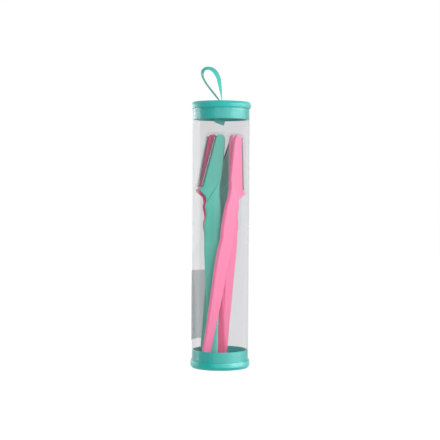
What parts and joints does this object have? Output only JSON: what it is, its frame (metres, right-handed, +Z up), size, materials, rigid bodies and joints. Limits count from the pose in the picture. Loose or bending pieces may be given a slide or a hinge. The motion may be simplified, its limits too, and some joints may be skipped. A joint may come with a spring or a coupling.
{
  "type": "eyebrow razor set",
  "caption": "Eyebrow razors with slotted guards and clear covers, standing in a clear round tube case with plug caps and a ribbon loop.",
  "frame": {"origin": "on the tube's axis, at the underside of the base cap", "axes": "+Z up along the tube, +X to the right and +Y to the back as the case is seen from the front"},
  "size_m": [0.0395, 0.0394, 0.1982],
  "materials": {
    "clear_tube": "clear polystyrene, polished",
    "clear_cover": "clear moulded plastic",
    "teal_cap": "soft gloss moulded plastic",
    "teal_handle": "satin moulded plastic",
    "deep_teal_handle": "satin moulded plastic",
    "pink_handle": "satin moulded plastic",
    "deep_pink_handle": "satin moulded plastic",
    "blade_steel": "ground stainless steel",
    "guard_steel": "dark etched steel sheet",
    "satin_ribbon": "woven satin",
    "sticker": "bare film"
  },
  "bodies": {
    "base": {"base_cap": "teal_cap"},
    "case_tube": {"tube": "clear_tube", "label": "sticker"},
    "lid": {"top_cap": "teal_cap", "hang_ribbon": "satin_ribbon", "ribbon_knot": "satin_ribbon"},
    "front_teal_razor": {"front_teal_handle": "teal_handle", "front_teal_blade": "blade_steel", "front_teal_guard": "guard_steel"},
    "front_teal_sheath": {"front_teal_cover": "clear_cover"},
    "back_pink_razor": {"back_pink_handle": "deep_pink_handle", "back_pink_blade": "blade_steel", "back_pink_guard": "guard_steel"},
    "back_pink_sheath": {"back_pink_cover": "clear_cover"},
    "back_teal_razor": {"back_teal_handle": "deep_teal_handle", "back_teal_blade": "blade_steel", "back_teal_guard": "guard_steel"},
    "back_teal_sheath": {"back_teal_cover": "clear_cover"},
    "front_pink_razor": {"front_pink_handle": "pink_handle", "front_pink_blade": "blade_steel", "front_pink_guard": "guard_steel"},
    "front_pink_sheath": {"front_pink_cover": "clear_cover"},
    "side_pink_razor": {"side_pink_handle": "pink_handle", "side_pink_blade": "blade_steel", "side_pink_guard": "guard_steel"},
    "side_pink_sheath": {"side_pink_cover": "clear_cover"}
  },
  "joints": [
    {"name": "tube_lift", "type": "slide", "parent": "base", "child": "case_tube", "axis": [0, 0, 1], "range_m": [0, 0.014]},
    {"name": "lid_lift", "type": "slide", "parent": "case_tube", "child": "lid", "axis": [0, 0, 1], "range_m": [0, 0.03]},
    {"name": "front_teal_lift", "type": "slide", "parent": "base", "child": "front_teal_razor", "axis": [0, 0, 1], "range_m": [0, 0.006]},
    {"name": "front_teal_cover_pull", "type": "slide", "parent": "front_teal_razor", "child": "front_teal_sheath", "axis": [0.1829, -0.0023, 0.9831], "range_m": [0, 0.005]},
    {"name": "back_pink_lift", "type": "slide", "parent": "base", "child": "back_pink_razor", "axis": [0, 0, 1], "range_m": [0, 0.006]},
    {"name": "back_pink_cover_pull", "type": "slide", "parent": "back_pink_razor", "child": "back_pink_sheath", "axis": [0.1077, 0.0028, 0.9942], "range_m": [0, 0.005]},
    {"name": "back_teal_lift", "type": "slide", "parent": "base", "child": "back_teal_razor", "axis": [0, 0, 1], "range_m": [0, 0.006]},
    {"name": "back_teal_cover_pull", "type": "slide", "parent": "back_teal_razor", "child": "back_teal_sheath", "axis": [0.274, -0.0655, 0.9595], "range_m": [0, 0.005]},
    {"name": "front_pink_lift", "type": "slide", "parent": "base", "child": "front_pink_razor", "axis": [0, 0, 1], "range_m": [0, 0.006]},
    {"name": "front_pink_cover_pull", "type": "slide", "parent": "front_pink_razor", "child": "front_pink_sheath", "axis": [0.0262, -0.0955, 0.9951], "range_m": [0, 0.005]},
    {"name": "side_pink_lift", "type": "slide", "parent": "base", "child": "side_pink_razor", "axis": [0, 0, 1], "range_m": [0, 0.006]},
    {"name": "side_pink_cover_pull", "type": "slide", "parent": "side_pink_razor", "child": "side_pink_sheath", "axis": [-0.0552, -0.226, 0.9726], "range_m": [0, 0.005]}
  ]
}
